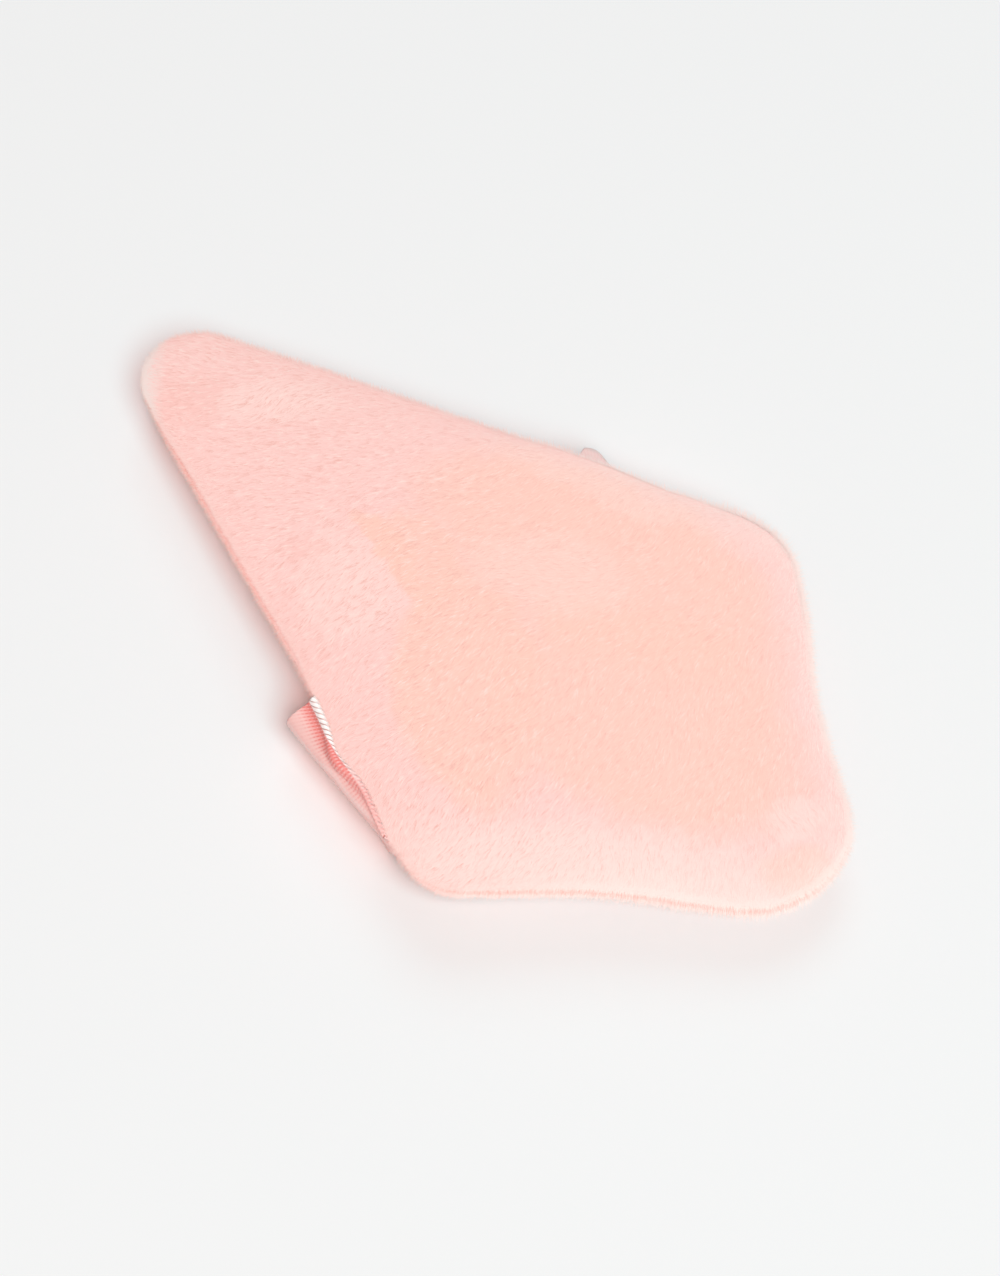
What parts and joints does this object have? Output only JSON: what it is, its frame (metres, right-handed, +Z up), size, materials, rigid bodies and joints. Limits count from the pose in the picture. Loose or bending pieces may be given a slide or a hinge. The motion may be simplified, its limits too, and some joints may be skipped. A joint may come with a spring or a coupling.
{
  "type": "powder puff",
  "caption": "Kite-shaped velour powder puff with a soft filling, and a satin ribbon band on its back that holds it to the fingers.",
  "frame": {"origin": "on the surface that the puff lies on, below the middle of its bounding box", "axes": "+Y along the kite's long axis, towards its long tip. +X along the finger band. +Z up, out of the face that powders"},
  "size_m": [0.0656, 0.1135, 0.0133],
  "materials": {
    "velour_face": "short brushed velour pile, matt, with lighter and darker brush marks",
    "velour_back": "short brushed velour pile, matt",
    "sponge": "open-cell foam, matt",
    "sewing_thread": "spun polyester thread, faint sheen",
    "satin_ribbon": "woven satin, soft sheen across the ribbon"
  },
  "bodies": {
    "band": {"finger_ribbon": "satin_ribbon"},
    "pad": {"face_panel": "velour_face", "back_panel": "velour_back", "sponge_core": "sponge", "needle_thread": "sewing_thread", "bobbin_thread": "sewing_thread", "closing_stitch": "sewing_thread"}
  },
  "joints": [
    {"name": "band_opening", "type": "slide", "parent": "band", "child": "pad", "axis": [0, 0, 1], "range_m": [0, 0.008], "deforming": ["finger_ribbon"]}
  ]
}
